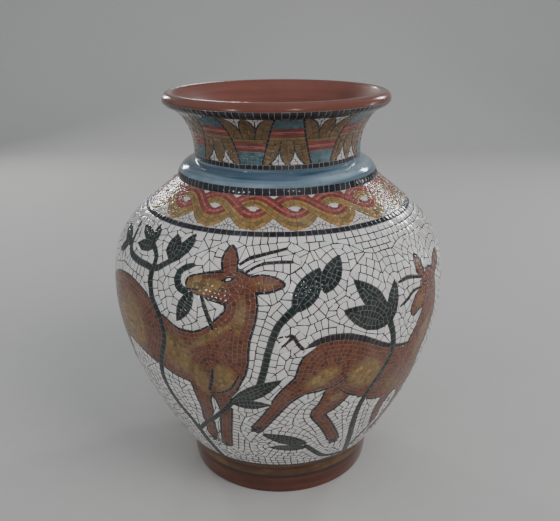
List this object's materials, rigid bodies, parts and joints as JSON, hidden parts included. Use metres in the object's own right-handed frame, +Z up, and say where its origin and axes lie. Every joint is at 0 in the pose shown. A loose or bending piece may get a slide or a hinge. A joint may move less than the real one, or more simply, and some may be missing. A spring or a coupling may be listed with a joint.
{
  "type": "pottery vase",
  "caption": "Wide-bellied glazed pottery vase with a low foot, rounded collar, waisted neck and rolled lip, painted as a mosaic of deer and plants; holds flowers or stands as an ornament.",
  "frame": {"origin": "on the turning axis, at the underside of the foot", "axes": "+Z up along the turning axis; -Y is the side that the picture shows"},
  "size_m": [0.2542, 0.2542, 0.2999],
  "materials": {
    "pale_glaze": "glossy off-white glaze",
    "terracotta_glaze": "glossy reddish-brown glaze over clay",
    "painted_glaze": "glossy painted glazes in browns, ochre, green and black",
    "blue_glaze": "glossy brushed blue glaze"
  },
  "bodies": {
    "root": {"vase": "pale_glaze"}
  },
  "joints": []
}
